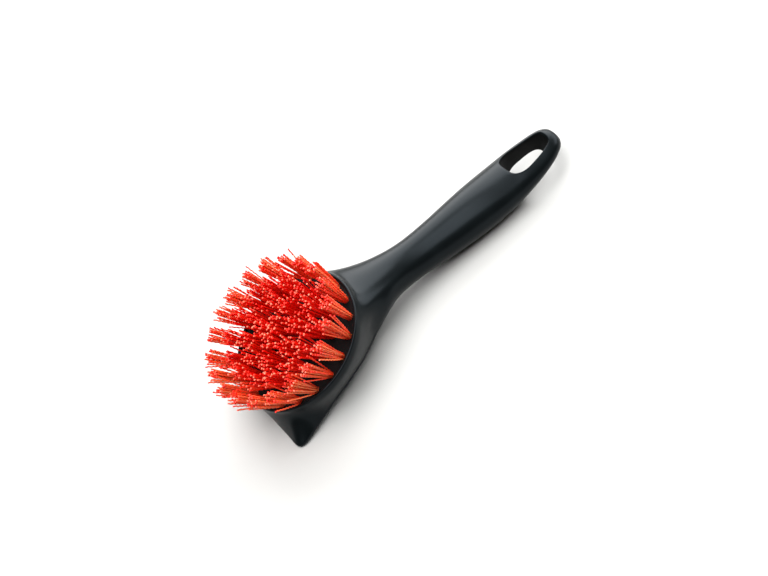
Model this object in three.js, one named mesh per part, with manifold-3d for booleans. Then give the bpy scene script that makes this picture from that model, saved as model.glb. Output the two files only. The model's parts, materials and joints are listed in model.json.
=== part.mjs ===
// Wheel brush: a moulded handle with a fan-shaped head, a round plate in the head and
// rings of filament tufts in the plate. Millimetres. The brush is first built on its own
// axes, x from the middle of the bristle field towards the grip, y across and z out of
// the bristle face, with z = 0 on the top of the lip. It is then laid on its back.
import * as THREE from 'three';
import { mergeVertices } from 'three/addons/utils/BufferGeometryUtils.js';
import Module from 'manifold-3d';

const wasm = await Module();
wasm.setup();

// ---- Driving dimensions ----
const CLEARANCE = 0.3;
const WALL = 2.6;
const HALF_TURN = Math.PI;
const FULL_TURN = 2 * Math.PI;
const WORK_SPACE = 600;
const OVERSHOOT = 1;
const MERGE_DISTANCE = 1e-4;

const lip = { radius: 47, height: 5, chamfer: 0.8, wall: 2.4, sides: 72 };
const edge = { x: -48.6, halfWidth: 43, depth: 20, thickness: 2, cornerRadius: 3 };
const plate = { recess: 1.5, thickness: 9, ledge: 1.6 };
const pocketRadius = lip.radius - lip.wall;
const hole = { radius: 2.3, depth: 7, sides: 10 };
const tuft = { rootRadius: 2, tipRadius: 4.4, flareStart: 0.6, length: 27, sides: 10 };

// Rings of tufts from the rim inwards: how many, on what radius, and the outward lean.
// Every tuft also leans forward, towards the front edge.
const tuftRings = [
  { name: 'a', count: 20, radius: 41.2, leanDegrees: 9 },
  { name: 'b', count: 14, radius: 29, leanDegrees: 6 },
  { name: 'c', count: 8, radius: 17, leanDegrees: 3 },
  { name: 'd', count: 3, radius: 5.6, leanDegrees: 0 },
];
const forwardLeanDegrees = 8;

// Grip sections along the handle: place of the middle, and half of width and thickness.
const gripSections = [
  { x: 18, depth: 15, halfWidth: 30, halfThickness: 9 },
  { x: 38, depth: 18.5, halfWidth: 28, halfThickness: 15 },
  { x: 51, depth: 24.5, halfWidth: 22, halfThickness: 14 },
  { x: 66, depth: 31, halfWidth: 15.5, halfThickness: 11.8 },
  { x: 82, depth: 38.2, halfWidth: 14, halfThickness: 11.5 },
  { x: 104, depth: 47.4, halfWidth: 15.8, halfThickness: 13 },
  { x: 128, depth: 55.5, halfWidth: 18.1, halfThickness: 14 },
  { x: 152, depth: 62.3, halfWidth: 18.4, halfThickness: 12 },
  { x: 168, depth: 66, halfWidth: 17.6, halfThickness: 9.8 },
  { x: 182, depth: 69, halfWidth: 15.2, halfThickness: 7.8 },
  { x: 192, depth: 70.4, halfWidth: 11.6, halfThickness: 6.6 },
];
const gripEnd = { x: 198, depth: 70.8 };
const grip = { steps: 26, sides: 28, endSteps: 4, hollowFrom: 0.02, hollowTo: 0.68 };
// The slot is laid out from a point on the grip's middle line, square to the grip there.
const slot = {
  x: 177, depth: 68, tiltDegrees: 15.8, neckEnd: -18.6, tipEnd: 14.4,
  halfWidth: 11, cornerRadius: 8.5, tipRadius: 8.6, seatHalfAngleDegrees: 12, cut: 60, curveSegments: 4,
};

// The outline of the back of the head from the front corner to the neck.
const flank = [
  [-20, 39.4], [0, 36.2], [16, 31.6], [30, 24], [42, 15], [50, 8],
];
const backDrop = { depth: 18, length: 100 };
// The flank leaves the lip steeply and flattens towards the edge, so its blend is a power.
const skinRings = { flank: 4, flankPower: 1.3, back: 4 };

// ---- Shared helpers ----
function toSolid(geometry) {
  const bare = geometry.clone();
  bare.deleteAttribute('normal');
  bare.deleteAttribute('uv');
  const merged = mergeVertices(bare, MERGE_DISTANCE);
  return new wasm.Manifold(new wasm.Mesh({
    numProp: 3,
    vertProperties: new Float32Array(merged.attributes.position.array),
    triVerts: new Uint32Array(merged.index.array),
  }));
}

function toGeometry(solid) {
  const mesh = solid.getMesh();
  const geometry = new THREE.BufferGeometry();
  geometry.setAttribute('position', new THREE.BufferAttribute(mesh.vertProperties, 3));
  geometry.setIndex(new THREE.BufferAttribute(mesh.triVerts, 1));
  geometry.computeVertexNormals();
  return geometry;
}

// A closed skin over a stack of rings with the same number of points in each. The rings
// turn anticlockwise when seen from the last one, and a fan closes each end.
function loft(rings) {
  const count = rings[0].length;
  const points = rings.flat();
  const faces = [];
  for (let level = 0; level + 1 < rings.length; level += 1) {
    for (let side = 0; side < count; side += 1) {
      const here = level * count + side;
      const beside = level * count + (side + 1) % count;
      faces.push(here, beside, beside + count, here, beside + count, here + count);
    }
  }
  const closeEnd = (ring, first, flip) => {
    const middle = new THREE.Vector3();
    ring.forEach((point) => middle.addScaledVector(point, 1 / count));
    points.push(middle);
    for (let side = 0; side < count; side += 1) {
      const pair = [first + side, first + (side + 1) % count];
      faces.push(points.length - 1, pair[flip ? 1 : 0], pair[flip ? 0 : 1]);
    }
  };
  closeEnd(rings[0], 0, true);
  closeEnd(rings[rings.length - 1], (rings.length - 1) * count, false);
  const geometry = new THREE.BufferGeometry().setFromPoints(points);
  geometry.setIndex(faces);
  return geometry;
}

function disc(radius, bottom, top, sides) {
  const geometry = new THREE.CylinderGeometry(radius, radius, top - bottom, sides);
  geometry.rotateX(HALF_TURN / 2);
  geometry.translate(0, 0, (top + bottom) / 2);
  return geometry;
}

// ---- Head ----
// Height of the back of the head: it drops away from the front edge towards the neck.
function backHeight(x) {
  const along = (x - edge.x) / backDrop.length;
  return -edge.depth - backDrop.depth * along * along;
}

// The fan: a straight front edge, rounded corners and two flanks that run to the neck.
function fanOutline() {
  const shape = new THREE.Shape();
  const corner = edge.halfWidth - edge.cornerRadius;
  const side = edge.x + edge.cornerRadius;
  shape.moveTo(edge.x, corner);
  shape.lineTo(edge.x, -corner);
  shape.quadraticCurveTo(edge.x, -edge.halfWidth, side, -edge.halfWidth);
  shape.splineThru(flank.map(([x, y]) => new THREE.Vector2(x, -y)));
  shape.splineThru(flank.map(([x, y]) => new THREE.Vector2(x, y)).reverse());
  shape.lineTo(side, edge.halfWidth);
  shape.quadraticCurveTo(edge.x, edge.halfWidth, edge.x, corner);
  return shape.getSpacedPoints(lip.sides).slice(0, -1);
}

// The head's skin, moved inwards by the inset, from the lip down the flanks to the back.
function headSkin(inset) {
  const outline = fanOutline().map((point) => {
    const reach = point.length();
    return point.clone().multiplyScalar((reach - inset) / reach);
  });
  const radius = lip.radius - inset;
  const ringAt = (blend, height) => outline.map((point) => {
    const onLip = point.clone().setLength(radius);
    const flat = onLip.lerp(point, blend);
    return new THREE.Vector3(flat.x, flat.y, height(point));
  });
  const rimRing = (shrink, z) => outline.map((point) => {
    const flat = point.clone().setLength(radius - shrink);
    return new THREE.Vector3(flat.x, flat.y, z);
  });
  const rings = [rimRing(lip.chamfer, 0), rimRing(0, -lip.chamfer), rimRing(0, -lip.height)];
  const edgeTop = (point) => backHeight(point.x) + inset + edge.thickness;
  for (let ring = 1; ring <= skinRings.flank; ring += 1) {
    const step = ring / skinRings.flank;
    const height = (point) => THREE.MathUtils.lerp(-lip.height, edgeTop(point), step);
    rings.push(ringAt(step ** skinRings.flankPower, height));
  }
  for (let ring = skinRings.back; ring > 0; ring -= 1) {
    const scale = ring / skinRings.back;
    rings.push(outline.map((point) => new THREE.Vector3(
      point.x * scale, point.y * scale, backHeight(point.x * scale) + inset)));
  }
  return loft(rings.reverse());
}

// ---- Grip ----
function gripRings(inset, from, to) {
  const spine = new THREE.CatmullRomCurve3(
    gripSections.map(({ x, depth }) => new THREE.Vector3(x, 0, -depth)));
  const size = new THREE.CatmullRomCurve3(
    gripSections.map(({ halfWidth, halfThickness }) => new THREE.Vector3(halfWidth, halfThickness, 0)));
  const rings = [];
  for (let step = 0; step <= grip.steps; step += 1) {
    const along = THREE.MathUtils.lerp(from, to, step / grip.steps);
    rings.push(gripRing(spine.getPoint(along), spine.getTangent(along), size.getPoint(along), inset));
  }
  return rings;
}

function gripRing(centre, tangent, size, inset) {
  const across = new THREE.Vector3(0, 1, 0);
  const up = new THREE.Vector3().crossVectors(tangent, across);
  const ring = [];
  for (let side = 0; side < grip.sides; side += 1) {
    const angle = FULL_TURN * side / grip.sides;
    ring.push(centre.clone()
      .addScaledVector(across, (size.x - inset) * Math.cos(angle))
      .addScaledVector(up, (size.y - inset) * Math.sin(angle)));
  }
  return ring;
}

// The grip with its rounded end: the last section shrinks along a quarter ellipse.
function gripSkin() {
  const rings = gripRings(0, 0, 1);
  const last = rings[rings.length - 1];
  const from = gripSections[gripSections.length - 1];
  const length = gripEnd.x - from.x;
  const drop = gripEnd.depth - from.depth;
  const centre = new THREE.Vector3(from.x, 0, -from.depth);
  for (let step = 1; step < grip.endSteps; step += 1) {
    const angle = HALF_TURN / 2 * step / grip.endSteps;
    const shift = new THREE.Vector3(length, 0, -drop).multiplyScalar(Math.sin(angle));
    rings.push(last.map((point) => point.clone().sub(centre)
      .multiplyScalar(Math.cos(angle)).add(centre).add(shift)));
  }
  return loft(rings);
}

// The hanging slot: square towards the neck, narrowing to a round end at the tip with a
// small flat in its middle, where a hook bears.
function slotCutter() {
  const shape = new THREE.Shape();
  const tipCentre = slot.tipEnd - slot.tipRadius;
  const corner = slot.neckEnd + slot.cornerRadius;
  const inner = slot.halfWidth - slot.cornerRadius;
  const seat = THREE.MathUtils.degToRad(slot.seatHalfAngleDegrees);
  shape.moveTo(slot.neckEnd, inner);
  shape.lineTo(slot.neckEnd, -inner);
  shape.quadraticCurveTo(slot.neckEnd, -slot.halfWidth, corner, -slot.halfWidth);
  shape.absarc(tipCentre, 0, slot.tipRadius, -HALF_TURN / 2, -seat, false);
  shape.absarc(tipCentre, 0, slot.tipRadius, seat, HALF_TURN / 2, false);
  shape.lineTo(corner, slot.halfWidth);
  shape.quadraticCurveTo(slot.neckEnd, slot.halfWidth, slot.neckEnd, inner);
  const geometry = new THREE.ExtrudeGeometry(shape, {
    depth: slot.cut, bevelEnabled: false, curveSegments: slot.curveSegments,
  });
  geometry.translate(0, 0, -slot.cut / 2);
  geometry.rotateY(THREE.MathUtils.degToRad(slot.tiltDegrees));
  geometry.translate(slot.x, 0, -slot.depth);
  return geometry;
}

// The body is a shell: the head is hollow inside the ledge that the plate sits on, the
// grip is hollow up to the slot, and both hollows stay below the pocket's floor.
function makeHandleBody() {
  const pocketFloor = -plate.recess - plate.thickness;
  const pocket = toSolid(disc(pocketRadius, pocketFloor, OVERSHOOT, lip.sides));
  const insideLedge = disc(pocketRadius - plate.ledge, -WORK_SPACE / 2, OVERSHOOT, lip.sides);
  const room = new THREE.BoxGeometry(WORK_SPACE, WORK_SPACE, WORK_SPACE);
  room.translate(0, 0, pocketFloor + OVERSHOOT - WORK_SPACE / 2);
  const hollow = toSolid(headSkin(WALL))
    .intersect(toSolid(insideLedge))
    .add(toSolid(loft(gripRings(WALL, grip.hollowFrom, grip.hollowTo))))
    .intersect(toSolid(room));
  return toSolid(headSkin(0))
    .add(toSolid(gripSkin()))
    .subtract(hollow)
    .subtract(pocket)
    .subtract(toSolid(slotCutter()));
}

// ---- Bristle plate and tufts ----
// The place and the lean of every tuft, as a turned frame on the top of the plate.
function tuftPlaces() {
  const places = [];
  for (const ring of tuftRings) {
    for (let turn = 0; turn < ring.count; turn += 1) {
      const angle = FULL_TURN * turn / ring.count;
      const outward = Math.tan(THREE.MathUtils.degToRad(ring.leanDegrees));
      const forward = Math.tan(THREE.MathUtils.degToRad(forwardLeanDegrees));
      const spoke = new THREE.Vector3(Math.cos(angle), Math.sin(angle), 0);
      const lean = new THREE.Vector3(-forward, 0, 1).addScaledVector(spoke, outward).normalize();
      const frame = new THREE.Object3D();
      frame.quaternion.setFromUnitVectors(new THREE.Vector3(0, 0, 1), lean);
      frame.position.copy(spoke).multiplyScalar(ring.radius).setZ(-plate.recess);
      frame.updateMatrix();
      const number = String(turn + 1).padStart(2, '0');
      places.push({ name: `tuft_${ring.name}${number}`, matrix: frame.matrix });
    }
  }
  return places;
}

function makeBristlePlate(places) {
  const bottom = -plate.recess - plate.thickness + CLEARANCE;
  let solid = toSolid(disc(pocketRadius - CLEARANCE, bottom, -plate.recess, lip.sides));
  const drill = disc(hole.radius, -hole.depth, OVERSHOOT, hole.sides);
  for (const { matrix } of places) {
    solid = solid.subtract(toSolid(drill.clone().applyMatrix4(matrix)));
  }
  return solid;
}

// One tuft: straight inside its hole, then opening out to a flat cut end.
function tuftGeometry() {
  const foot = CLEARANCE - hole.depth;
  const profile = [
    [0, foot], [tuft.rootRadius, foot], [tuft.rootRadius, tuft.flareStart],
    [tuft.tipRadius, tuft.length], [0, tuft.length],
  ].map(([radius, height]) => new THREE.Vector2(radius, height));
  return new THREE.LatheGeometry(profile, tuft.sides).rotateX(HALF_TURN / 2);
}

// ---- Assembly ----
const blackPlastic = { color: 0x1d2224, roughness: 0.45, metalness: 0 };
const platePlastic = { color: 0x0e1112, roughness: 0.6, metalness: 0 };
const redFilament = { color: 0xe02a12, roughness: 0.5, metalness: 0 };

function piece(name, geometry, look) {
  const mesh = new THREE.Mesh(geometry, new THREE.MeshStandardMaterial(look));
  mesh.name = name;
  return mesh;
}

// How far the brush tips back to lie on its front edge and the belly of its grip.
function restingPitch(geometry) {
  const points = geometry.attributes.position;
  let steepest = 0;
  for (let index = 0; index < points.count; index += 1) {
    const run = points.getX(index) - edge.x;
    if (run > lip.radius) {
      steepest = Math.max(steepest, Math.atan2(-edge.depth - points.getZ(index), run));
    }
  }
  return steepest;
}

function makeBrush() {
  const places = tuftPlaces();
  const handle = toGeometry(makeHandleBody());
  const laid = new THREE.Group();
  laid.add(piece('handle_body', handle, blackPlastic));
  laid.add(piece('bristle_plate', toGeometry(makeBristlePlate(places)), platePlastic));
  for (const { name, matrix } of places) {
    const bundle = piece(name, tuftGeometry(), redFilament);
    bundle.applyMatrix4(matrix);
    laid.add(bundle);
  }
  laid.rotation.y = -restingPitch(handle);
  const brush = new THREE.Group();
  brush.add(laid);
  brush.updateMatrixWorld(true);
  const box = new THREE.Box3().setFromObject(laid, true);
  laid.position.set(-(box.min.x + box.max.x) / 2, -(box.min.y + box.max.y) / 2, -box.min.z);
  return brush;
}

export default makeBrush();
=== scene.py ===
# %% [markdown]
# # A wheel brush
# A hand brush for vehicle wheels: one black moulding that is handle, neck and fan-shaped
# head, a round plate set into the head, and 45 tufts of orange-red crimped filament.
# It lies on its back with its bristles up, on the front edge of the head and the belly of
# the grip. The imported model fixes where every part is; this lesson makes the surfaces.

# %% Load the frame
import json
import math
import random

import bmesh
import bpy
from mathutils import Matrix, Quaternion, Vector

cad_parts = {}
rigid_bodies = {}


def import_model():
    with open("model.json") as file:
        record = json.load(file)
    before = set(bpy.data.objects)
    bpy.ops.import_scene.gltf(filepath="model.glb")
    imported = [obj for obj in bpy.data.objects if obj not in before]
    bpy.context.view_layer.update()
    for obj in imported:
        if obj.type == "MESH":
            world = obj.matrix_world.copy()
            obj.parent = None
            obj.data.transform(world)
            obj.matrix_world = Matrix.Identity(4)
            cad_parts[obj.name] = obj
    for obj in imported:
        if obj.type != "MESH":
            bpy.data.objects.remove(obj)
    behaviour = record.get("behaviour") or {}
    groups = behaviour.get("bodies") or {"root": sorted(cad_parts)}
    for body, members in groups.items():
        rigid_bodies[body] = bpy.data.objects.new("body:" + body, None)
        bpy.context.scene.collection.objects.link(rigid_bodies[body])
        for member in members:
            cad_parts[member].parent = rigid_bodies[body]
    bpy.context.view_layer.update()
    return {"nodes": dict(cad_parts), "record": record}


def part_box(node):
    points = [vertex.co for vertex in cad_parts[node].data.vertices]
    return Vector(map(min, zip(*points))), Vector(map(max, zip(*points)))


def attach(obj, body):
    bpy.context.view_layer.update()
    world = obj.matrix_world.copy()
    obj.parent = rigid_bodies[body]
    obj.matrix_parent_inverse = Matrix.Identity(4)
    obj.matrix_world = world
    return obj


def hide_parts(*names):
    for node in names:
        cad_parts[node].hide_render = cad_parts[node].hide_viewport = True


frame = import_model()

# %% [markdown]
# ## The brush's own axes
# The head is easiest to build square to itself: x runs from the middle of the bristle field
# towards the grip, y across, and z out of the bristle face, with z = 0 on top of the lip.
# The plate's box gives the middle of the head, and the bristle mount gives its tilt.

# %% Brush axes
MM = 0.001
PLATE_TOP = -1.5 * MM
PLATE_THICKNESS = 8.7 * MM
FORWARD_LEAN = math.radians(8)

mounts = {mount["name"]: mount for mount in frame["record"]["mounts"]}
bristle_axis = Vector(mounts["bristle_face"]["axis"])
tilt = math.atan2(-bristle_axis.x, bristle_axis.z) - FORWARD_LEAN
plate_low, plate_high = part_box("bristle_plate")
plate_middle = Vector((0, 0, PLATE_TOP - PLATE_THICKNESS / 2))
to_row = (
    Matrix.Translation((plate_low + plate_high) / 2)
    @ Matrix.Rotation(-tilt, 4, "Y")
    @ Matrix.Translation(-plate_middle)
)
print("the head is tipped back by", round(math.degrees(tilt), 2), "degrees")

# %% [markdown]
# ## Helpers for materials
# Colours are picked as sRGB hex values and turned to linear light once, here. One small
# function adds a node, sets its inputs, makes its links and, on a colour ramp, places its
# stops, so each material reads as a list of what its real surface does.

# %% Colour and node helpers
def linear(hex_colour):
    """The standard sRGB curve, undone, as the four numbers that a colour input takes."""
    channels = [int(hex_colour[i:i + 2], 16) / 255 for i in (1, 3, 5)]
    return [c / 12.92 if c <= 0.04045 else ((c + 0.055) / 1.055) ** 2.4 for c in channels] + [1]


def add_node(material, kind, inputs=None, links=None, stops=(), **settings):
    node = material.node_tree.nodes.new(kind)
    for name, value in settings.items():
        setattr(node, name, value)
    for name, value in (inputs or {}).items():
        node.inputs[name].default_value = value
    for name, socket in (links or {}).items():
        material.node_tree.links.new(socket, node.inputs[name])
    for number, (position, colour) in enumerate(stops):
        node.color_ramp.elements[number].position = position
        node.color_ramp.elements[number].color = linear(colour)
    return node


def new_material(name):
    material = bpy.data.materials.new(name)
    material.use_nodes = True
    material.node_tree.nodes.clear()
    return material


print("mid grey in linear light:", round(linear("#808080")[0], 3))

# %% [markdown]
# ## Black moulded polypropylene
# Handles like this usually come out of a spark-textured steel mould, which leaves a very
# fine grain that spreads reflections into broad soft bands. The base is nearly black, the IOR
# is the plastic's own 1.49, and the roughness drifts a little from place to place. A low
# specular level with a cool tint keeps the dark skin from mirroring too much of the pale
# floor. Such a grain is about 0.15 mm, too fine to show, so it is drawn at 0.5 mm.

# %% Handle plastic
GRAIN = 0.5 * MM
DRIFT = 14 * MM
GRAIN_HEIGHT = 0.05 * MM
POLYPROPYLENE_IOR = 1.49

handle_plastic = new_material("moulded polypropylene")
coords = add_node(handle_plastic, "ShaderNodeTexCoord").outputs["Object"]
grain = add_node(
    handle_plastic, "ShaderNodeTexNoise", {"Scale": 1 / GRAIN, "Detail": 3}, {"Vector": coords})
cloud = add_node(
    handle_plastic, "ShaderNodeTexNoise", {"Scale": 1 / DRIFT, "Detail": 2}, {"Vector": coords})
bump = add_node(
    handle_plastic, "ShaderNodeBump", {"Strength": 0.12, "Distance": GRAIN_HEIGHT},
    {"Height": grain.outputs["Fac"]})
skin_roughness = add_node(
    handle_plastic, "ShaderNodeMapRange", {"To Min": 0.26, "To Max": 0.32},
    {"Value": cloud.outputs["Fac"]})
skin_colour = add_node(
    handle_plastic, "ShaderNodeValToRGB", links={"Fac": cloud.outputs["Fac"]},
    stops=[(0.3, "#080b0c"), (0.7, "#0b0f10")])
skin = add_node(
    handle_plastic, "ShaderNodeBsdfPrincipled",
    {"IOR": POLYPROPYLENE_IOR, "Specular IOR Level": 0.14, "Specular Tint": linear("#e2f2ff")},
    {"Base Color": skin_colour.outputs["Color"], "Roughness": skin_roughness.outputs["Result"],
     "Normal": bump.outputs["Normal"]})
add_node(handle_plastic, "ShaderNodeOutputMaterial", links={"Surface": skin.outputs["BSDF"]})
print("handle grain, mm:", round(GRAIN / MM, 2))

# %% [markdown]
# ## Matt polypropylene
# The round plate and the walls of the hanging slot look duller than the outer skin. They are
# the same plastic, so the material is built the same way, with a deeper grain, a higher
# roughness and a darker base. On the slot's walls that darker base is painted shade, standing
# in for the shade inside the slot. The imported plate already has the right shape, so it keeps
# its own mesh and only gets this finish.

# %% Plate plastic
plate_and_slot_shade_plastic = new_material("matt polypropylene and painted slot shade")
coords = add_node(plate_and_slot_shade_plastic, "ShaderNodeTexCoord").outputs["Object"]
grain = add_node(
    plate_and_slot_shade_plastic, "ShaderNodeTexNoise", {"Scale": 1 / GRAIN, "Detail": 2}, {"Vector": coords})
bump = add_node(
    plate_and_slot_shade_plastic, "ShaderNodeBump", {"Strength": 0.2, "Distance": GRAIN_HEIGHT},
    {"Height": grain.outputs["Fac"]})
# a darker base; on the slot's walls it is painted shade inside the slot
plate_and_slot_shade_colour = add_node(
    plate_and_slot_shade_plastic, "ShaderNodeValToRGB", links={"Fac": grain.outputs["Fac"]},
    stops=[(0.3, "#040505"), (0.7, "#070808")])
plate_and_slot_shade_skin = add_node(
    plate_and_slot_shade_plastic, "ShaderNodeBsdfPrincipled",
    {"Roughness": 0.6, "IOR": POLYPROPYLENE_IOR, "Specular IOR Level": 0.12},
    {"Base Color": plate_and_slot_shade_colour.outputs["Color"], "Normal": bump.outputs["Normal"]})
add_node(plate_and_slot_shade_plastic, "ShaderNodeOutputMaterial", links={"Surface": plate_and_slot_shade_skin.outputs["BSDF"]})

plate = frame["nodes"]["bristle_plate"]
plate.data.materials.clear()
plate.data.materials.append(plate_and_slot_shade_plastic)
print("the plate is now", plate.data.materials[0].name)

# %% [markdown]
# ## The handle body
# On the real brush this is one injection moulding: a round lip, a skirt that spreads from
# it to a fan with a thin straight front edge, and a neck that flows into the grip with no
# seam. It could be joined from separate shapes with booleans, but the joins would show as
# creases. A coarse cage under a Subdivision Surface gives one flowing skin: the head is
# extruded ring by ring, then faces at its back are extruded on as neck and grip.

# %% Sizes of the head
LIP_RADIUS = 47 * MM
LIP_HEIGHT = 5 * MM
POCKET_RADIUS = 44.6 * MM
POCKET_FLOOR = -10.5 * MM
LEDGE_RADIUS = 43 * MM
CAVITY_FLOOR = -17 * MM
EDGE_X = -48.6 * MM
EDGE_THICKNESS = 2 * MM
EDGE_DEPTH = 20 * MM
BACK_DROP = 18 * MM
BACK_LENGTH = 100 * MM
# Half of the fan's outline seen from above, from the front edge to the neck, in mm.
FAN_POINTS = [
    (-48.6, 0), (-48.6, 40), (-50, 44.4), (-42, 43), (-20, 39.4), (0, 36.2), (16, 31.6), (30, 24),
    (42, 15), (50, 8), (52, 0),
]
COLUMNS = 48
HALF_STEP = 0.5
column_angles = [
    math.tau * (column + HALF_STEP) / COLUMNS - math.pi for column in range(COLUMNS)]
print("one column spans", round(math.degrees(math.tau / COLUMNS), 2), "degrees")


# %% Outline of the fan
def fan_reach(angle):
    """Distance from the head's centre to the fan's outline, in one direction."""
    ray = Vector((math.cos(angle), abs(math.sin(angle))))
    for (x1, y1), (x2, y2) in zip(FAN_POINTS, FAN_POINTS[1:]):
        side1 = ray.x * y1 - ray.y * x1
        side2 = ray.x * y2 - ray.y * x2
        if side1 * side2 <= 0:
            share = side1 / (side1 - side2)
            return math.hypot(x1 + (x2 - x1) * share, y1 + (y2 - y1) * share) * MM


def back_height(x):
    return -EDGE_DEPTH - BACK_DROP * ((x - EDGE_X) / BACK_LENGTH) ** 2


fan = [fan_reach(angle) for angle in column_angles]
print("the fan reaches", round(min(fan) / MM, 1), "to", round(max(fan) / MM, 1), "mm from the centre")


# %% Rings of the head
def round_ring(radius, height):
    return [Vector((radius * math.cos(a), radius * math.sin(a), height)) for a in column_angles]


def skirt_ring(blend, share):
    """A ring on the skirt: its outline goes from the lip's circle to the fan."""
    ring = []
    for angle, reach in zip(column_angles, fan):
        radius = LIP_RADIUS + (reach - LIP_RADIUS) * blend
        x, y = radius * math.cos(angle), radius * math.sin(angle)
        foot = back_height(x) + EDGE_THICKNESS
        ring.append(Vector((x, y, -LIP_HEIGHT + (foot + LIP_HEIGHT) * share)))
    return ring


def back_ring(scale):
    ring = []
    for angle, reach in zip(column_angles, fan):
        x, y = reach * scale * math.cos(angle), reach * scale * math.sin(angle)
        ring.append(Vector((x, y, back_height(x))))
    return ring


print("top of the front edge, mm:", round(skirt_ring(1, 1)[0].z / MM, 1))

# %% Stack of rings
# Each ring holds a corner of the moulding. Two that lie close together keep an edge crisp.
POCKET_CORNER = 0.4 * MM
LIP_ROUNDING = 0.7 * MM
FILLET = 0.1 * MM
POCKET_RIM = -1.6 * MM
INNER_SHOULDER = -0.5 * MM
OUTER_SHOULDER = -0.6 * MM
LIP_SIDE = -2.6 * MM
# How far out towards the fan, and how far down towards its edge, as shares.
SKIRT_STEPS = [(0.19, 0.28), (0.46, 0.55), (0.76, 0.81), (0.97, 0.97), (1, 1)]
EDGE_SCALES = (1, 0.97)
BACK_SCALES = (0.72, 0.45, 0.2)

inside_rings = [
    round_ring(LEDGE_RADIUS, CAVITY_FLOOR),
    round_ring(LEDGE_RADIUS, POCKET_FLOOR),
    round_ring(POCKET_RADIUS - POCKET_CORNER, POCKET_FLOOR),
    round_ring(POCKET_RADIUS, POCKET_FLOOR + POCKET_CORNER),
    round_ring(POCKET_RADIUS, POCKET_RIM),
]
lip_rings = [
    round_ring(POCKET_RADIUS + FILLET, INNER_SHOULDER),
    round_ring(POCKET_RADIUS + LIP_ROUNDING, 0),
    round_ring(LIP_RADIUS - LIP_ROUNDING, 0),
    round_ring(LIP_RADIUS, OUTER_SHOULDER),
    round_ring(LIP_RADIUS, LIP_SIDE),
]
neck_rings = (
    [round_ring(LIP_RADIUS + FILLET, -LIP_HEIGHT)]
    + [skirt_ring(blend, share) for blend, share in SKIRT_STEPS]
    + [back_ring(scale) for scale in EDGE_SCALES]
)
back_rings = [back_ring(scale) for scale in BACK_SCALES]
rings = inside_rings + lip_rings + neck_rings + back_rings
NECK_TOP = len(inside_rings + lip_rings)
DOWN = len(neck_rings) - 1
print("rings:", len(rings))

# %% Extrude the head ring by ring
bpy.ops.object.select_all(action="DESELECT")
bpy.ops.mesh.primitive_circle_add(vertices=COLUMNS, radius=LEDGE_RADIUS)
body = bpy.context.object
body.name = "moulded_handle"
bpy.ops.object.mode_set(mode="EDIT")
edit = bmesh.from_edit_mesh(body.data)
for name in ("column", "level", "section"):
    edit.verts.layers.int.new(name)


def selected_verts(edit):
    return [vertex for vertex in edit.verts if vertex.select]


def place_ring(level):
    """Slide the selected ring's points, in order round the head, to their places."""
    edit = bmesh.from_edit_mesh(body.data)
    layers = edit.verts.layers.int
    ring = sorted(selected_verts(edit), key=lambda vertex: math.atan2(vertex.co.y, vertex.co.x))
    for column, (vertex, point) in enumerate(zip(ring, rings[level])):
        vertex.co = point
        vertex[layers["column"]] = column
        vertex[layers["level"]] = level
    bmesh.update_edit_mesh(body.data)


bpy.ops.mesh.select_all(action="SELECT")
place_ring(0)
for level in range(1, len(rings)):
    bpy.ops.mesh.extrude_region_move()
    place_ring(level)
bpy.ops.mesh.edge_face_add()
bpy.ops.mesh.poke()
bpy.ops.mesh.select_mode(type="EDGE")
bpy.ops.mesh.select_all(action="DESELECT")
edit = bmesh.from_edit_mesh(body.data)
for edge in edit.edges:
    edge.select = edge.is_boundary
bpy.ops.mesh.edge_face_add()
print("head cage:", len(bmesh.from_edit_mesh(body.data).faces), "faces")

# %% [markdown]
# ## Neck, grip and rounded end
# The faces of the skirt that look backwards are extruded again and again. Each time, their
# points are slid on to the next section of the grip, so the neck grows out of the head
# without a seam. Number layers remember each point's column, level and section.

# %% Sections of the grip
# Middle of the section along and below the brush's axis, half width, half thickness, in mm.
SECTIONS = [
    (51.5, 24.5, 22.4, 13.9), (58, 27.4, 18.4, 12.7), (66, 31, 15.3, 11.8), (82, 38.2, 13.9, 11.5),
    (104, 47.4, 15.8, 13), (128, 55.5, 18.3, 14.2), (147, 61.2, 18.8, 12.6), (156.5, 63.6, 18.4, 11.5),
    (161, 64.6, 18.2, 10.9), (167, 65.9, 17.8, 10.1), (173, 67.2, 17.1, 9.2), (179, 68.4, 16.1, 8.3),
    (185, 69.4, 14.7, 7.6), (190, 70, 12.8, 7), (193.5, 70.5, 11, 6.4), (196.4, 70.8, 8.2, 5.4),
    (197.8, 70.9, 5, 3.8),
]
# The skirt's faces that look backwards start at this column and are this many across.
FIRST_COLUMN = 19
ACROSS = 9
BORDER = 2 * (ACROSS + DOWN)
DOME = 0.6 * MM
print("the grip has", len(SECTIONS), "sections of", BORDER, "points")


def border_place(across, down):
    """Where a point of the region's border sits on a round section of radius one."""
    if down == 0:
        steps = across - ACROSS / 2
    elif down == DOWN:
        steps = BORDER / 2 - (across - ACROSS / 2)
    elif across == ACROSS:
        steps = ACROSS / 2 + down
    else:
        steps = -ACROSS / 2 - down
    angle = math.tau * steps / BORDER
    return Vector((math.sin(angle), math.cos(angle)))


def round_place(across, down):
    if across in (0, ACROSS) or down in (0, DOWN):
        return border_place(across, down)
    return border_place(across, 0).lerp(border_place(across, DOWN), down / DOWN)


def section_point(number, place):
    x, depth, half_width, half_thickness = SECTIONS[number]
    before = SECTIONS[max(number - 1, 0)]
    after = SECTIONS[min(number + 1, len(SECTIONS) - 1)]
    along = Vector((after[0] - before[0], 0, before[1] - after[1])).normalized()
    up = Vector((-along.z, 0, along.x))
    middle = Vector((x, 0, -depth))
    return (middle + up * place.y * half_thickness + Vector((0, place.x * half_width, 0))) * MM


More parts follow.
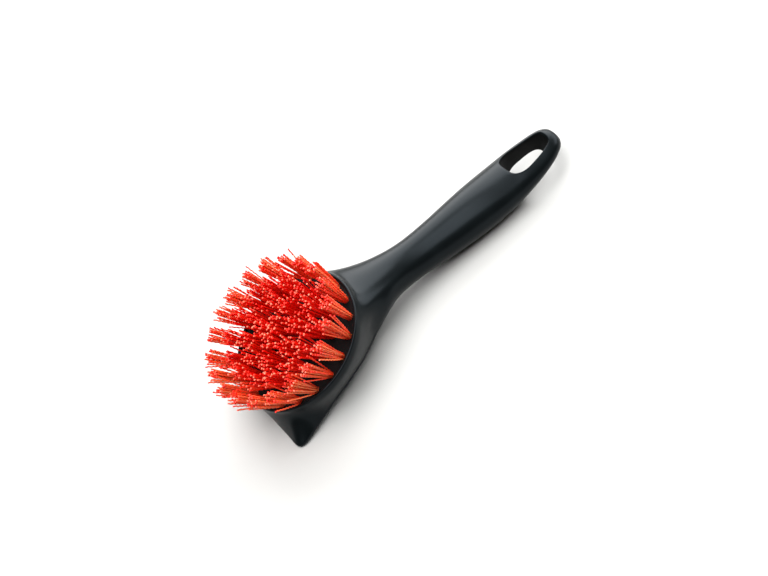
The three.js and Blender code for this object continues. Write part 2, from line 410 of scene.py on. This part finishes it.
# %% Extrude the neck and grip
bpy.ops.mesh.select_mode(type="FACE")
bpy.ops.mesh.select_all(action="DESELECT")
edit = bmesh.from_edit_mesh(body.data)
layers = edit.verts.layers.int
for face in edit.faces:
    columns = [vertex[layers["column"]] - FIRST_COLUMN for vertex in face.verts]
    levels = [vertex[layers["level"]] - NECK_TOP for vertex in face.verts]
    face.select = (
        min(columns) >= 0 and max(columns) <= ACROSS and min(levels) >= 0 and max(levels) <= DOWN)
bmesh.update_edit_mesh(body.data)
for number in range(len(SECTIONS)):
    bpy.ops.mesh.extrude_region_move()
    edit = bmesh.from_edit_mesh(body.data)
    layers = edit.verts.layers.int
    for vertex in selected_verts(edit):
        across = vertex[layers["column"]] - FIRST_COLUMN
        down = vertex[layers["level"]] - NECK_TOP
        place = round_place(across, down)
        vertex.co = section_point(number, place)
        vertex[layers["section"]] = number + 1
        if number == len(SECTIONS) - 1:
            vertex.co.x += DOME * (1 - place.length_squared)
    bmesh.update_edit_mesh(body.data)
print("with the grip:", len(bmesh.from_edit_mesh(body.data).faces), "faces")

# %% [markdown]
# ## Soft shoulders
# Where the top of the neck meets the skirt, the cage still has a ridge on each side. On the
# real moulding the surfaces melt into each other there. The points could be moved one by
# one, but relaxing the few points along the ridge gives an even curve at once.

# %% Relax the shoulders
RIDGE_SECTIONS = 3
RIDGE_COLUMNS = 3
RIDGE_START = LIP_RADIUS * 0.8
RELAX_SHARE = 0.5
RELAX_ROUNDS = 6
bpy.ops.mesh.select_mode(type="VERT")
bpy.ops.mesh.select_all(action="DESELECT")
edit = bmesh.from_edit_mesh(body.data)
layers = edit.verts.layers.int
for vertex in edit.verts:
    across = vertex[layers["column"]] - FIRST_COLUMN
    from_side = min(across, ACROSS - across)
    on_top = 0 <= vertex[layers["level"]] - NECK_TOP <= 1
    vertex.select = (
        on_top and -1 <= from_side < RIDGE_COLUMNS and vertex[layers["section"]] <= RIDGE_SECTIONS
        and vertex.co.x > RIDGE_START)
bmesh.update_edit_mesh(body.data)
bpy.ops.mesh.vertices_smooth(factor=RELAX_SHARE, repeat=RELAX_ROUNDS)
print("relaxed points:", len(selected_verts(bmesh.from_edit_mesh(body.data))))

# %% [markdown]
# ## The hanging slot
# A hook goes through the end of the grip, so the real moulding has a long rounded slot, a
# little narrower at its tip end. A boolean would leave a sharp cut in the smooth skin. Here
# the faces over the slot are pulled to its outline, inset so that the rim stays crisp and
# deleted above and below, and the two holes are bridged. The lower outline is shorter and
# a little wider, so the walls slope. They get the matt material, whose darker base there is
# painted shade inside the slot.

# %% Slot sizes
# Lengths are in mm, as in the sections. The slot's middle is along and below the axis.
SLOT_X = 177
SLOT_DEPTH = 68
SLOT_MIDDLE = -2.1
SLOT_HALF_LENGTH = 16.5
SLOT_HALF_WIDTH = 11
SLOT_TIP_HALF_WIDTH = 8.4
TAPER_START = -10
TAPER_LENGTH = 16
TAPER_LIMIT = 1.2
SLOT_MARGIN = 1.3
SLOT_ROUNDNESS = 3.6
SLOT_SHORTER_BELOW = 4.5
SLOT_WIDER_BELOW = 1.2
# The first and last of the cage's sections, and of its columns, round the slot.
SLOT_SECTIONS = (8, 15)
SLOT_COLUMNS = (1, 8)
print("slot cage, mm:", 2 * SLOT_HALF_LENGTH, "long and", 2 * SLOT_HALF_WIDTH, "wide")


# %% Slot outline
def mixed_section(x):
    for before, after in zip(SECTIONS, SECTIONS[1:]):
        if before[0] <= x <= after[0]:
            share = (x - before[0]) / (after[0] - before[0])
            return [a + (b - a) * share for a, b in zip(before, after)]
    return SECTIONS[-1]


def slot_point(across_share, along_share, side):
    """A place on the slot's outline, or inside it, on the grip's top or bottom skin."""
    reach = max(abs(across_share), abs(along_share))
    angle = math.atan2(across_share, along_share)
    power = abs(math.cos(angle)) ** SLOT_ROUNDNESS + abs(math.sin(angle)) ** SLOT_ROUNDNESS
    rounded = reach * power ** (-1 / SLOT_ROUNDNESS)
    shorter = SLOT_SHORTER_BELOW if side < 0 and math.cos(angle) > 0 else 0
    along = SLOT_MIDDLE + (SLOT_HALF_LENGTH - shorter + SLOT_MARGIN) * math.cos(angle) * rounded
    taper = min(max((along - TAPER_START) / TAPER_LENGTH, 0), TAPER_LIMIT)
    half_width = SLOT_HALF_WIDTH + (SLOT_TIP_HALF_WIDTH - SLOT_HALF_WIDTH) * taper + SLOT_MARGIN
    if side < 0:
        half_width += SLOT_WIDER_BELOW
    across = half_width * math.sin(angle) * rounded
    lean = Vector((math.sin(tilt), 0, math.cos(tilt)))
    course = Vector((math.cos(tilt), 0, -math.sin(tilt)))
    flat = Vector((SLOT_X, across, -SLOT_DEPTH)) + course * along
    depth, section_width, section_thickness = mixed_section(flat.x)[1:]
    rise = section_thickness * math.sqrt(max(1 - (across / section_width) ** 2, 0)) * side
    return (flat + lean * (rise - depth - flat.z)) * MM


# %% Cut the slot
WALL_CUTS = 2
# the second material slot holds the slot's walls, darkened as painted shade
OUTER_SKIN, SHADED_SLOT_WALLS = 0, 1
bpy.ops.mesh.select_mode(type="FACE")
for level, side in ((NECK_TOP, 1), (NECK_TOP + DOWN, -1)):
    bpy.ops.mesh.select_all(action="DESELECT")
    edit = bmesh.from_edit_mesh(body.data)
    layers = edit.verts.layers.int
    over_slot = set()
    for vertex in edit.verts:
        across = vertex[layers["column"]] - FIRST_COLUMN
        section = vertex[layers["section"]]
        in_columns = SLOT_COLUMNS[0] <= across <= SLOT_COLUMNS[1]
        in_sections = SLOT_SECTIONS[0] <= section <= SLOT_SECTIONS[1]
        if vertex[layers["level"]] == level and in_columns and in_sections:
            over_slot.add(vertex)
            across_share = 2 * (across - SLOT_COLUMNS[0]) / (SLOT_COLUMNS[1] - SLOT_COLUMNS[0]) - 1
            along_share = 2 * (section - SLOT_SECTIONS[0]) / (SLOT_SECTIONS[1] - SLOT_SECTIONS[0]) - 1
            vertex.co = slot_point(across_share, along_share, side)
    for face in edit.faces:
        face.select = all(vertex in over_slot for vertex in face.verts)
    bmesh.update_edit_mesh(body.data)
    bpy.ops.mesh.inset(thickness=SLOT_MARGIN * MM)
    bpy.ops.mesh.delete(type="FACE")
bpy.ops.mesh.select_mode(type="EDGE")
bpy.ops.mesh.select_all(action="DESELECT")
edit = bmesh.from_edit_mesh(body.data)
for edge in edit.edges:
    edge.select = edge.is_boundary
bmesh.update_edit_mesh(body.data)
bpy.ops.mesh.bridge_edge_loops(number_cuts=WALL_CUTS)
edit = bmesh.from_edit_mesh(body.data)
# the bridged walls get the darker matt material: painted shade inside the slot
for face in edit.faces:
    face.material_index = SHADED_SLOT_WALLS if face.select else OUTER_SKIN
bmesh.update_edit_mesh(body.data)
bpy.ops.mesh.select_all(action="SELECT")
bpy.ops.mesh.normals_make_consistent(inside=False)
bpy.ops.object.mode_set(mode="OBJECT")
print("whole cage:", len(body.data.polygons), "faces")

# %% Smooth the body
SMOOTHING = 2
smooth = body.modifiers.new("smooth skin", "SUBSURF")
smooth.levels = SMOOTHING
smooth.render_levels = SMOOTHING
bpy.ops.object.modifier_apply(modifier=smooth.name)
bpy.ops.object.shade_smooth()
body.data.transform(to_row)
body.data.materials.append(handle_plastic)
# second material: the darker matt plastic, painted shade on the slot's walls
body.data.materials.append(plate_and_slot_shade_plastic)
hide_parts("handle_body")
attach(body, "root")
print("body:", len(body.data.polygons), "faces")

# %% [markdown]
# ## Drawn filament
# The bristles are drawn thermoplastic, dyed right through and a little translucent, so light
# that enters a strand comes out redder. Each strand carries three attributes that the material
# reads: how far along it a point is, how far out in the field, and a number of its own for
# small differences. The colour goes from deep red to orange towards the rim: the deep red is
# painted shade in the packed mass, and the orange is painted light on the open rim, where the
# outer strands catch the lamps. It turns paler in the last millimetre of each strand, a painted
# highlight where the cut tips catch the light. Scattering alone could do some of this, but
# attributes are easier to steer.
#
# A Mix node keeps a set of sockets for each kind of value under the same names, so its
# colour sockets are reached by number.

# %% Filament colours
MIX_FIRST = 6
MIX_SECOND = 7
MIX_RESULT = 2

filament_side = new_material("drawn filament")
outward = add_node(filament_side, "ShaderNodeAttribute", attribute_name="outward").outputs["Fac"]
strand = add_node(filament_side, "ShaderNodeAttribute", attribute_name="strand").outputs["Fac"]
along = add_node(filament_side, "ShaderNodeAttribute", attribute_name="along").outputs["Fac"]
# painted shade: deep red for strands inside the packed mass, painted light: orange on the open rim
shaded_mass_colour = add_node(
    filament_side, "ShaderNodeValToRGB", links={"Fac": strand},
    stops=[(0.0, "#dc0a02"), (1.0, "#e61e0c")])
lit_rim_colour = add_node(
    filament_side, "ShaderNodeValToRGB", links={"Fac": strand},
    stops=[(0.0, "#ee3816"), (1.0, "#fa7a4a")])
lit_rim_share = add_node(
    filament_side, "ShaderNodeValToRGB", links={"Fac": outward},
    stops=[(0.78, "#000000"), (1.0, "#ffffff")])
lit_and_shaded_colour = add_node(
    filament_side, "ShaderNodeMix",
    links={"Factor": lit_rim_share.outputs["Color"], MIX_FIRST: shaded_mass_colour.outputs["Color"],
           MIX_SECOND: lit_rim_colour.outputs["Color"]},
    data_type="RGBA")
print("attributes read:", outward.node.attribute_name, strand.node.attribute_name,
      along.node.attribute_name)

# %% Filament sides
FILAMENT_IOR = 1.53
SCATTER = 1.5 * MM
# the paler last millimetre of each strand is a painted highlight where the cut tips catch the light
tip_highlight_band = add_node(
    filament_side, "ShaderNodeValToRGB", links={"Fac": along},
    stops=[(0.96, "#000000"), (0.98, "#ffffff")])
tip_highlight_colour = add_node(
    filament_side, "ShaderNodeValToRGB", links={"Fac": strand},
    stops=[(0.35, "#e61606"), (1.0, "#f47454")])
side_colour = add_node(
    filament_side, "ShaderNodeMix",
    links={"Factor": tip_highlight_band.outputs["Color"], MIX_FIRST: lit_and_shaded_colour.outputs[MIX_RESULT],
           MIX_SECOND: tip_highlight_colour.outputs["Color"]},
    data_type="RGBA")
side_skin = add_node(
    filament_side, "ShaderNodeBsdfPrincipled",
    {"Roughness": 0.42, "IOR": FILAMENT_IOR, "Specular IOR Level": 0.2,
     "Subsurface Weight": 0.4, "Subsurface Scale": SCATTER, "Subsurface Radius": (1, 0.12, 0.05)},
    {"Base Color": side_colour.outputs[MIX_RESULT]})
add_node(filament_side, "ShaderNodeOutputMaterial", links={"Surface": side_skin.outputs["BSDF"]})
print("light spreads inside a strand over", round(SCATTER / MM, 1), "mm")

# %% Filament ends
filament_end = new_material("cut filament end")
strand = add_node(filament_end, "ShaderNodeAttribute", attribute_name="strand").outputs["Fac"]
# the paler ends are a painted highlight where the cut tips catch the light
end_highlight_colour = add_node(
    filament_end, "ShaderNodeValToRGB", links={"Fac": strand},
    stops=[(0.35, "#ec1e0e"), (1.0, "#f8866c")])
end_skin = add_node(
    filament_end, "ShaderNodeBsdfPrincipled", {"Roughness": 0.6, "IOR": FILAMENT_IOR},
    {"Base Color": end_highlight_colour.outputs["Color"]})
add_node(filament_end, "ShaderNodeOutputMaterial", links={"Surface": end_skin.outputs["BSDF"]})
print("made", filament_side.name, "and", filament_end.name)

# %% [markdown]
# ## One filament
# A bristle is a straight strand that was pressed between gears while warm, so it has a
# shallow zigzag crimp all along. It could be a curve with a bevel. Here one strand is
# modelled as by hand: a small square face, extruded step by step from side to side, with a
# short flared piece at the cut end. Its section has only four sides, because about 1,200
# copies are made of it.

# %% One filament
FILAMENT_RADIUS = 0.5 * MM
CRIMP = 0.32 * MM
CRIMP_STEPS = 20
HOLE_DEPTH = 6 * MM
CUT_HEIGHT = 0.4 * MM
CUT_FLARE = 1.3
BRISTLE_LENGTH = 27 * MM
STRAND_LENGTH = HOLE_DEPTH + BRISTLE_LENGTH

bpy.ops.object.select_all(action="DESELECT")
bpy.ops.mesh.primitive_circle_add(vertices=4, radius=FILAMENT_RADIUS, fill_type="NGON")
one_filament = bpy.context.object
bpy.ops.object.mode_set(mode="EDIT")
bpy.ops.mesh.select_all(action="SELECT")
step_length = STRAND_LENGTH / CRIMP_STEPS
for step in range(CRIMP_STEPS):
    sideways = CRIMP if step % 2 else -CRIMP
    if step == 0:
        sideways /= 2  # the first goes from the middle to one side, the others right across
    bpy.ops.mesh.extrude_region_move(TRANSFORM_OT_translate={"value": (sideways, 0, step_length)})
bpy.ops.mesh.extrude_region_move(TRANSFORM_OT_translate={"value": (0, 0, CUT_HEIGHT)})
bpy.ops.transform.resize(value=(CUT_FLARE, CUT_FLARE, 1))
bpy.ops.mesh.select_all(action="SELECT")
bpy.ops.mesh.normals_make_consistent(inside=False)
bpy.ops.object.mode_set(mode="OBJECT")
filament_points = [vertex.co.copy() for vertex in one_filament.data.vertices]
filament_faces = [list(face.vertices) for face in one_filament.data.polygons]
end_face = [
    index for index, face in enumerate(filament_faces)
    if all(filament_points[v].z > STRAND_LENGTH + CUT_HEIGHT / 2 for v in face)
]
bpy.data.objects.remove(one_filament)
print("one filament has", len(filament_faces), "faces")

# %% [markdown]
# ## A tuft
# A bundle of strands is folded in half and pushed into a hole, where it stands packed, and
# above the plate its 27 ends spring apart. Placing 1,200 strands by hand isn't practical, and
# hair particles would have to be turned into meshes anyway, so the modelled strand is copied
# along a line from its place in the hole to its place in the spread end, with small seeded
# differences. A few strands stray further out.

# %% How strands differ
STRANDS = 27
PACKED_RADIUS = 1.8 * MM
OPENING = 0.85  # below one, strands spread most just above the plate
GOLDEN_ANGLE = math.pi * (3 - math.sqrt(5))
FIELD_RADIUS = 46 * MM
from_row = to_row.inverted()
SEED = 21
dice = random.Random(SEED)
# How much strands differ: angle in radians, the rest in mm.
ANGLE_SPREAD = 0.4
REACH_SPREAD = 0.7
TIP_SPREAD = 0.6
LOWEST_CUT, HIGHEST_CUT = -1.8, 1
STRAY_CHANCE = 0.1
LEAST_STRAY, MOST_STRAY = 1.5, 4
print("strands in a tuft:", STRANDS)


# %% Lay one strand
def strand_ends(number, spread, droop):
    """Where one strand leaves the plate and where it ends, in the tuft's own frame."""
    share = math.sqrt((number + HALF_STEP) / STRANDS)
    angle = number * GOLDEN_ANGLE + dice.gauss(0, ANGLE_SPREAD)
    spoke = Vector((math.cos(angle), math.sin(angle), 0))
    reach = spread * share + dice.gauss(0, REACH_SPREAD) * MM
    if dice.random() < STRAY_CHANCE:
        reach += dice.uniform(LEAST_STRAY, MOST_STRAY) * MM
    drop = reach ** 2 / (2 * BRISTLE_LENGTH)
    height = BRISTLE_LENGTH - drop + dice.uniform(LOWEST_CUT, HIGHEST_CUT) * MM
    stray = Vector((dice.gauss(0, TIP_SPREAD) * MM, dice.gauss(0, TIP_SPREAD) * MM, height))
    return spoke * share * PACKED_RADIUS, spoke * reach + droop + stray


def lay_strand(root, tip, spin):
    """The filament's points, moved on to a strand that fans out above the plate."""
    turn = Matrix.Rotation(spin, 3, "Z")
    placed = []
    for point in filament_points:
        height = point.z - HOLE_DEPTH
        share = max(height, 0) / BRISTLE_LENGTH
        shift = (tip - root).xy.to_3d() * share ** OPENING
        section = turn @ Vector((point.x, point.y, 0))
        rise = tip.z * share + min(height, 0)
        placed.append(root + shift + section + Vector((0, 0, rise)))
    return placed


print("each strand has", len(filament_points), "points")


# %% Make one tuft
CUT_END = 1


def make_tuft(name, spread, place):
    """One tuft as one mesh: its strands laid out, with their attributes and two materials."""
    points, faces, marks, outward, shades, ends = [], [], [], [], [], []
    droop = Vector((dice.gauss(0, TIP_SPREAD), dice.gauss(0, TIP_SPREAD), 0)) * MM
    for number in range(STRANDS):
        root, tip = strand_ends(number, spread, droop)
        first = len(points)
        points += [place @ p for p in lay_strand(root, tip, dice.uniform(0, math.tau))]
        faces += [[first + v for v in face] for face in filament_faces]
        marks += [max(p.z - HOLE_DEPTH, 0) / BRISTLE_LENGTH for p in filament_points]
        outward += [(from_row @ p).xy.length / FIELD_RADIUS for p in points[first:]]
        shades += [dice.random()] * len(filament_points)
        ends += [number * len(filament_faces) + index for index in end_face]
    mesh = bpy.data.meshes.new(name)
    mesh.from_pydata(points, [], faces)
    mesh.attributes.new("along", "FLOAT", "POINT").data.foreach_set("value", marks)
    mesh.attributes.new("outward", "FLOAT", "POINT").data.foreach_set("value", outward)
    mesh.attributes.new("strand", "FLOAT", "POINT").data.foreach_set("value", shades)
    mesh.materials.append(filament_side)
    mesh.materials.append(filament_end)
    mesh.polygons.foreach_set("use_smooth", [True] * len(faces))
    for index in ends:
        mesh.polygons[index].material_index = CUT_END
        mesh.polygons[index].use_smooth = False
    tuft = bpy.data.objects.new(name, mesh)
    bpy.context.scene.collection.objects.link(tuft)
    return tuft


print("each tuft has", STRANDS * len(filament_faces), "faces")

# %% [markdown]
# ## Rings of tufts
# Four rings on the round plate hold 20, 14, 8 and 3 tufts. Each leans outwards, the outer
# rings most, and all lean forward a little, towards the front edge. The tufts could be copies
# of one, but then their strays would repeat, so each is laid out anew in its own hole.

# %% Place the tufts
# Letter, number of tufts, radius in mm, outward lean in degrees, spread of the ends in mm.
RINGS = [
    ("a", 20, 41.2, 10, 4.3), ("b", 14, 29, 7, 6.3), ("c", 8, 17, 3.5, 6.3), ("d", 3, 5.6, 0, 6.3)]
holes = []


def tuft_place(angle, radius, lean):
    spoke = Vector((math.cos(angle), math.sin(angle), 0))
    direction = Vector((-math.tan(FORWARD_LEAN), 0, 1)) + spoke * math.tan(lean)
    turn = Vector((0, 0, 1)).rotation_difference(direction).to_matrix().to_4x4()
    return to_row @ Matrix.Translation(spoke * radius + Vector((0, 0, PLATE_TOP))) @ turn


for ring, count, radius, lean, spread in RINGS:
    for number in range(count):
        label = f"{ring}{number + 1:02d}"
        place = tuft_place(math.tau * number / count, radius * MM, math.radians(lean))
        holes.append((label, place))
        tuft = make_tuft(f"bristles_{label}", spread * MM, place)
        node = f"tuft_{label}"
        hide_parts(node)
        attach(tuft, "root")
print("strands:", len(holes) * STRANDS)

# %% [markdown]
# ## Galvanised wire
# Anchors are usually cut from drawn steel wire with a zinc coat. Zinc is a metal, so Metallic
# is one and the IOR stays as it is. Noise at 0.8 mm makes the colour and the dullness drift,
# as zinc that has weathered unevenly.

# %% Galvanised wire
SPANGLE = 0.8 * MM
galvanised = new_material("galvanised drawn wire")
coords = add_node(galvanised, "ShaderNodeTexCoord").outputs["Object"]
spangle = add_node(
    galvanised, "ShaderNodeTexNoise", {"Scale": 1 / SPANGLE, "Detail": 2}, {"Vector": coords})
dulling = add_node(
    galvanised, "ShaderNodeMapRange", {"To Min": 0.3, "To Max": 0.5},
    {"Value": spangle.outputs["Fac"]})
zinc_colour = add_node(
    galvanised, "ShaderNodeValToRGB", links={"Fac": spangle.outputs["Fac"]},
    stops=[(0.3, "#a6a8a8"), (0.7, "#c4c6c6")])
zinc = add_node(
    galvanised, "ShaderNodeBsdfPrincipled", {"Metallic": 1},
    {"Base Color": zinc_colour.outputs["Color"], "Roughness": dulling.outputs["Result"]})
add_node(galvanised, "ShaderNodeOutputMaterial", links={"Surface": zinc.outputs["BSDF"]})
print("spangle, mm:", round(SPANGLE / MM, 1))

# %% [markdown]
# ## Wire anchors
# Each tuft is folded over a short piece of wire that is driven into the foot of its hole,
# where its ends bite into the plastic. It could be a bent curve. Here one is modelled from a
# thin rod, whose middle rings are pulled down, as the tool that drives it in leaves it. It
# is then copied into every hole.

# %% Anchor wire
WIRE_RADIUS = 0.28 * MM
WIRE_LENGTH = 3.8 * MM
WIRE_DIP = 0.5 * MM
WIRE_HEIGHT = -6.2 * MM
WIRE_SIDES = 8
WIRE_CUTS = 5
SHARP_FROM = math.radians(50)
bpy.ops.object.select_all(action="DESELECT")
bpy.ops.mesh.primitive_cylinder_add(
    vertices=WIRE_SIDES, radius=WIRE_RADIUS, depth=WIRE_LENGTH, rotation=(0, math.pi / 2, 0))
one_anchor = bpy.context.object
bpy.ops.object.transform_apply(location=True, rotation=True, scale=True)
bpy.ops.object.mode_set(mode="EDIT")
bpy.ops.mesh.select_mode(type="EDGE")
bpy.ops.mesh.select_all(action="DESELECT")
edit = bmesh.from_edit_mesh(one_anchor.data)
for edge in edit.edges:
    edge.select = edge.calc_length() > WIRE_LENGTH / 2
bmesh.update_edit_mesh(one_anchor.data)
bpy.ops.mesh.subdivide(number_cuts=WIRE_CUTS)
edit = bmesh.from_edit_mesh(one_anchor.data)
for vertex in edit.verts:
    vertex.co.z -= WIRE_DIP * math.cos(math.pi * vertex.co.x / WIRE_LENGTH)
bmesh.update_edit_mesh(one_anchor.data)
bpy.ops.object.mode_set(mode="OBJECT")
bpy.ops.object.shade_smooth_by_angle(angle=SHARP_FROM)
one_anchor.data.materials.append(galvanised)
print("one anchor has", len(one_anchor.data.polygons), "faces")

# %% Place the anchors
for label, place in holes:
    mesh = one_anchor.data.copy()
    mesh.transform(place @ Matrix.Translation((0, 0, WIRE_HEIGHT)))
    anchor = bpy.data.objects.new(f"anchor_{label}", mesh)
    bpy.context.scene.collection.objects.link(anchor)
    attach(anchor, "root")
bpy.data.objects.remove(one_anchor)
print("anchors:", len(holes))

# %% [markdown]
# ## Floor
# The brush lies on pale paper. A white floor under these lights would burn out, and the black
# skin would mirror too much of it, so its base is a mid grey that the lights lift to nearly
# white round the brush. Beyond the camera's view it is painted darker: painted shade, which the
# handle's flank mirrors in place of a bright floor.

# %% Floor
# In metres, the last two from the middle of the floor.
FLOOR_SIZE = 6
PALE_TO = 0.42
PAINTED_SHADE_FROM = 1.0
bpy.ops.object.select_all(action="DESELECT")
bpy.ops.mesh.primitive_plane_add(size=FLOOR_SIZE, location=(0, 0, 0))
floor = bpy.context.object
floor.name = "floor"
pale = new_material("pale paper")
coords = add_node(pale, "ShaderNodeTexCoord").outputs["Object"]
distance = add_node(pale, "ShaderNodeVectorMath", links={0: coords}, operation="LENGTH")
# pale round the brush, then painted darker further out: painted shade for the handle's flank to mirror
paper_and_painted_shade_colour = add_node(
    pale, "ShaderNodeValToRGB", links={"Fac": distance.outputs["Value"]},
    stops=[(PALE_TO, "#b2b2b0"), (PAINTED_SHADE_FROM, "#82827f")])
paper = add_node(
    pale, "ShaderNodeBsdfPrincipled", {"Roughness": 0.7},
    {"Base Color": paper_and_painted_shade_colour.outputs["Color"]})
add_node(pale, "ShaderNodeOutputMaterial", links={"Surface": paper.outputs["BSDF"]})
floor.data.materials.append(pale)
print("floor:", FLOOR_SIZE, "m across")

# %% [markdown]
# ## Camera
# A rather long lens looks down at the brush from one side, rolled about its own line of
# sight so that the grip runs up to the right. Its place is worked out from two angles and a
# distance to the point that it aims at, which are easier to tune than three coordinates.

# %% Camera
AIM = Vector((-0.0139, -0.0088, 0.0239))
AZIMUTH = math.radians(-9.5)
ELEVATION = math.radians(44.94)
ROLL = math.radians(-34.61)
DISTANCE = 1.118
LENS_MM = 84.94
SENSOR_MM = 36

away = Vector((
    math.sin(AZIMUTH) * math.cos(ELEVATION),
    -math.cos(AZIMUTH) * math.cos(ELEVATION),
    math.sin(ELEVATION),
))
camera_data = bpy.data.cameras.new("camera")
camera_data.lens = LENS_MM
camera_data.sensor_width = SENSOR_MM
camera = bpy.data.objects.new("camera", camera_data)
bpy.context.scene.collection.objects.link(camera)
camera.rotation_mode = "QUATERNION"
camera.rotation_quaternion = Quaternion(away, ROLL) @ (-away).to_track_quat("-Z", "Y")
camera.location = AIM + away * DISTANCE
bpy.context.scene.camera = camera
print("camera at", [round(value, 3) for value in camera.location])

# %% [markdown]
# ## Lights
# Three softboxes stand round the brush, as in a small studio. The one overhead lights the
# floor and the tufts' ends, one stands beyond the end of the grip, and the rear one, on the
# far side, draws the soft bright band along the neck. A faint glow from the room fills in the
# darkest places.

# %% Lights
def area_light(name, place, target, width, depth, power):
    data = bpy.data.lights.new(name, "AREA")
    data.shape = "RECTANGLE"
    data.size = width
    data.size_y = depth
    data.energy = power
    light = bpy.data.objects.new(name, data)
    bpy.context.scene.collection.objects.link(light)
    light.location = place
    light.rotation_mode = "QUATERNION"
    light.rotation_quaternion = (Vector(target) - Vector(place)).to_track_quat("-Z", "Y")
    print(name, "at", place, "gives", power, "W")


area_light(
    "overhead softbox", place=(-0.3, -0.3, 1.25), target=(-0.3, -0.3, 0),
    width=1.5, depth=1.4, power=39)
area_light(
    "side softbox", place=(1.4, 0.0, 0.65), target=AIM, width=1.2, depth=0.8, power=18)
area_light(
    "rear softbox", place=(0.7, 1.05, 0.9), target=AIM, width=1.6, depth=1.4, power=46)

# %% Room glow
ROOM_GLOW = 0.06
world = bpy.data.worlds.new("studio")
world.use_nodes = True
world.node_tree.nodes["Background"].inputs["Color"].default_value = linear("#ffffff")
world.node_tree.nodes["Background"].inputs["Strength"].default_value = ROOM_GLOW
bpy.context.scene.world = world
bpy.context.scene.view_settings.view_transform = "Standard"
print("room glow:", ROOM_GLOW)
